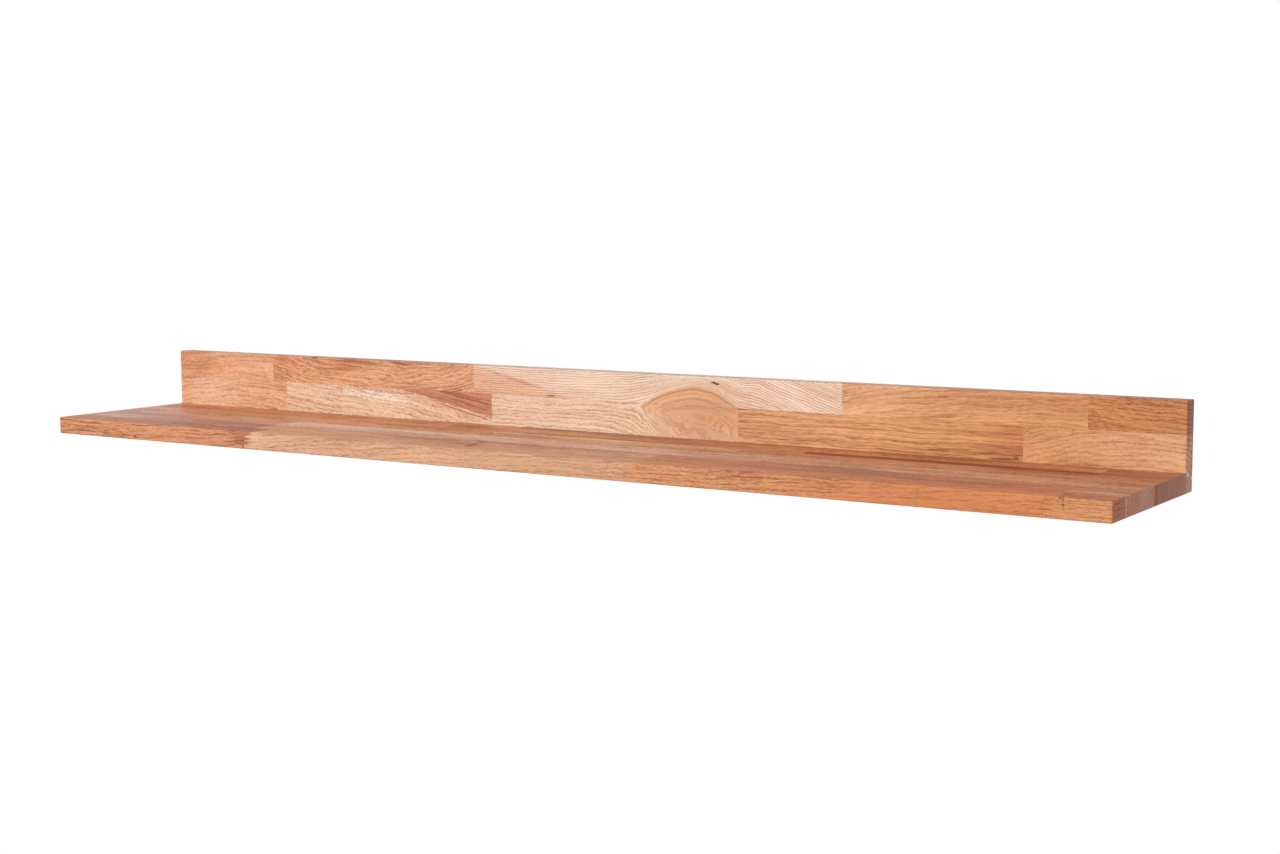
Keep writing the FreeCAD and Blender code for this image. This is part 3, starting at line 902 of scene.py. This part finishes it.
# %% Marks of the sawn ends
END_MARKS = {
    "back_top_row_stave_5": [
        mark((600, -14, 26), (12, 5.5, T), (182, 84, 60), amount=0.9),
        mark((600, -3, 26), (12, 6, T), (124, 92, 96), amount=0.7),
    ],
    "back_middle_row_stave_5": [
        mark((600, -13, 7), (12, 5, 9), (176, 90, 64), amount=0.7),
        mark((600, -1, 0), (12, 4, T), (140, 100, 96), amount=0.6),
        mark((600, -13.5, -23.8), (6, 3.8, 2.6), (236, 206, 194), amount=0.8),
    ],
    "back_bottom_row_stave_4": [
        mark((600, -1.6, -27.2), (6, 3.4, 1.5), (300, 300, 298), soft=0.3, amount=1.0),
    ],
    "shelf_front_row_stave_4": [
        mark((600, -190, -25.5), (12, 9, 1.1), (116, 58, 50), amount=0.8),
        mark((600, -188, -30.5), (12, 11, 1.0), (120, 64, 56), amount=0.8),
        mark((600, -190, -35.5), (12, 9, 1.0), (120, 66, 60), amount=0.7),
        mark((600, -197, -27), (12, 2.5, 4), (196, 92, 62), amount=0.6),
    ],
    "shelf_second_row_stave_4": [mark((600, -169, 0), (12, 2, T), (228, 172, 142), amount=0.7)],
    "shelf_third_row_stave_3": [mark((600, -124, 0), (12, 14, T), (198, 160, 144), soft=0.8, amount=0.5)],
    "shelf_fourth_row_stave_3": [
        mark((600, -96, 0), (12, 5, T), (138, 78, 66), amount=0.7),
        mark((600, -80, 0), (12, 2, T), (144, 92, 80), amount=0.6),
    ],
}
print(sum(map(len, END_MARKS.values())), "marks on the sawn ends")

# %% [markdown]
# ## Oak on every stave
#
# The staves are in the packed model already, so each only needs its material. The rows behind the
# shelf's front one are seen at a flat angle, where streaks crowd together and the sheen of the oil
# pales them. So these rows have stronger streaks and bands than the rest, and a touch more light to
# make up for the shade that comes with them.

# %% Put the oak on the staves
FIRST_SEED = 5.0
LYING_ROWS = dict(contrast=1.65, bands=1.7, tint=1.012)


def put(name, material):
    """Gives a piece of the packed model its material."""
    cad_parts[name].data.materials.clear()
    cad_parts[name].data.materials.append(material)


for count, (name, recipe) in enumerate(STAVES.items()):
    low, high = (np.array(corner) * 1000.0 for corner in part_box(name))
    lying = name.startswith("shelf") and "front" not in name
    basis = {**ANY_STAVE, **(LYING_ROWS if lying else {}), "seed": count + FIRST_SEED}
    recipe = {**basis, "end_marks": END_MARKS.get(name, ()), **recipe}
    if name in FADES:
        recipe["fade"] = FADES[name]
    put(name, oak("oak_" + name, low, high, recipe, MARKS.get(name, ())))
print(len(STAVES), "staves of oak,", sum(map(len, MARKS.values())), "marks")

# %% [markdown]
# ## The fittings
#
# What holds the shelf together and on the wall is hidden once it hangs: beech dowels inside the
# joint between the two boards, and two zinc-plated keyhole plates let into the rear face, with
# their screws. Raw beech is pale, with short darker flecks. Zinc is a dull silver with a rolled
# grain and a faint cloudy bloom. Both are seen when the part is turned round or taken apart, and
# both are done with the same two classes as the oak, only with fewer layers.

# %% Beech and zinc
def beech(name):
    """Raw beech, its grain along y as the dowels lie. Formula: a noise of long thin streaks between
    two tones, and the high spots of a shorter one as darker flecks."""
    finish = Finish(bpy.data.materials.new(name))
    x, y, z = finish.parts(finish.millimetres())
    grain = finish.noise(finish.vector(x / 0.7, y / 14, z / 0.7), 2.0) + 0.5
    flecks = finish.smooth(finish.noise(finish.vector(x / 0.4, y / 2.2, z / 0.9)), 0.1, 0.22)
    colour = finish.mix(grain, tone(232, 196, 158), tone(206, 158, 118))
    colour = finish.mix(flecks * 0.5, colour, tone(168, 118, 84))
    return finish.surface(grain, 0.0002, 0.3, Base_Color=colour, Roughness=0.55 + grain * 0.15)


def zinc(name, brightness):
    """Zinc-plated sheet, rolled along x. Formula: a noise of long thin lines as the relief, a cloudy
    one between a bright grey and a duller one, and both of them in the roughness."""
    finish = Finish(bpy.data.materials.new(name))
    x, y, z = finish.parts(finish.millimetres())
    rolled = finish.noise(finish.vector(x / 18, y / 0.5, z / 0.5), 2.0) + 0.5
    bloom = finish.noise(finish.vector(x / 6, y / 6, z / 6), 3.0) + 0.5
    bright, dull = (brightness,) * 3, (brightness - 34, brightness - 30, brightness - 22)
    colour = finish.mix(bloom, tone(*bright), tone(*dull))
    rough = 0.30 + rolled * 0.14 + bloom * 0.16
    return finish.surface(rolled, 0.0001, 0.25, Base_Color=colour, Roughness=rough, Metallic=1.0)


FITTINGS = {"shelf_dowels": beech("beech_dowel"), "plate_screws": zinc("zinc_screw", 204)}
FITTINGS["keyhole_plate_left"] = FITTINGS["keyhole_plate_right"] = zinc("zinc_plate", 214)
for name, material in FITTINGS.items():
    put(name, material)
print(len(FITTINGS), "nodes of beech and zinc")

# %% [markdown]
# ## The white ground
#
# The shelf was photographed against plain white. White has to come from the ground's own colour and
# not from stronger lamps, which would bleach the oak. So the floor is a pale matt paint, and only
# for the rays that reach the eye, straight or by a mirror or through glass, it also glows a little.
# The light on the shelf does not change by that, and the floor keeps the shelf's shadow.

# %% Seen by the eye
EYE_RAYS = ("Is Camera Ray", "Is Glossy Ray", "Is Transmission Ray")


def eye_rays(finish):
    """1 for the rays that the eye sees, straight, mirrored or through glass, 0 for all others."""
    seen = 0.0
    for kind in EYE_RAYS:
        seen = finish.node("ShaderNodeLightPath", output=kind) + seen
    return finish.limit(seen)


def chosen(finish, share, first, second):
    """One shader for a share of 0 and another for 1."""
    return finish.node("ShaderNodeMixShader", inputs={0: share, 1: first, 2: second})


print(len(EYE_RAYS), "kinds of ray reach the eye")

# %% Floor
FLOOR_Z, FLOOR_HALF = -2.1, 30.0  # in metres
FLOOR_PAINT, FLOOR_GLOW = (0.80, 0.80, 0.80, 1.0), 0.475
WHITE = (1.0, 1.0, 1.0, 1.0)

corners = np.array([(-1, -1), (1, -1), (1, 1), (-1, 1)]) * FLOOR_HALF
mesh = bpy.data.meshes.new("floor")
mesh.from_pydata(np.column_stack([corners, np.full(4, FLOOR_Z)]).tolist(), [], [(0, 1, 2, 3)])
floor = bpy.data.objects.new("floor", mesh)
bpy.context.scene.collection.objects.link(floor)

paint = Finish(bpy.data.materials.new("floor_white"))
bare = paint.node("ShaderNodeBsdfDiffuse", inputs={"Color": FLOOR_PAINT})
glow = paint.node("ShaderNodeEmission", inputs={"Color": WHITE, "Strength": FLOOR_GLOW})
lit = paint.node("ShaderNodeAddShader", inputs={0: bare, 1: glow})
both = chosen(paint, eye_rays(paint), bare, lit)
paint.node("ShaderNodeOutputMaterial", inputs={"Surface": both}, output=None)
mesh.materials.append(paint.owner)
print("floor", FLOOR_HALF * 2, "m square,", -FLOOR_Z, "m below the shelf")

# %% [markdown]
# ## The studio's walls
#
# A studio has pale walls, and their light comes from all sides and fills the shadows. Walls could be
# built, but the world does the same with one number. As with the floor, its light on the shelf stays
# at a plain level, and only the eye sees it as full white.

# %% World
STUDIO_LIGHT = 0.40
world = bpy.data.worlds.new("studio")
bpy.context.scene.world = world
sky = Finish(world)
room = sky.node("ShaderNodeBackground", inputs={"Color": WHITE, "Strength": STUDIO_LIGHT})
backdrop = sky.node("ShaderNodeBackground", inputs={"Color": WHITE, "Strength": 1.0})
both = chosen(sky, eye_rays(sky), room, backdrop)
sky.node("ShaderNodeOutputWorld", inputs={"Surface": both}, output=None)
print("world light", STUDIO_LIGHT)

# %% [markdown]
# ## The lamp
#
# One large softbox stands in front of the shelf, a little to the left of it and above. In the
# photograph the front faces are the brightest, the top is a tone darker and the right end darker
# again, with no hard shadow anywhere, and that tells where it stood. A sun lamp with a wide angle
# gives the same soft light at every point of a long part.

# %% Lamp
LAMP_TOWARDS = (-0.25, -0.88, 0.40)
LAMP_ENERGY, LAMP_ANGLE = 2.0, 50  # watts per square metre, degrees
lamp = bpy.data.lights.new("softbox", "SUN")
lamp.energy = LAMP_ENERGY
lamp.angle = math.radians(LAMP_ANGLE)
softbox = bpy.data.objects.new("softbox", lamp)
bpy.context.scene.collection.objects.link(softbox)
softbox.matrix_world = Vector(LAMP_TOWARDS).to_track_quat("Z", "Y").to_matrix().to_4x4()
print("lamp at", LAMP_TOWARDS, "energy", LAMP_ENERGY)

# %% [markdown]
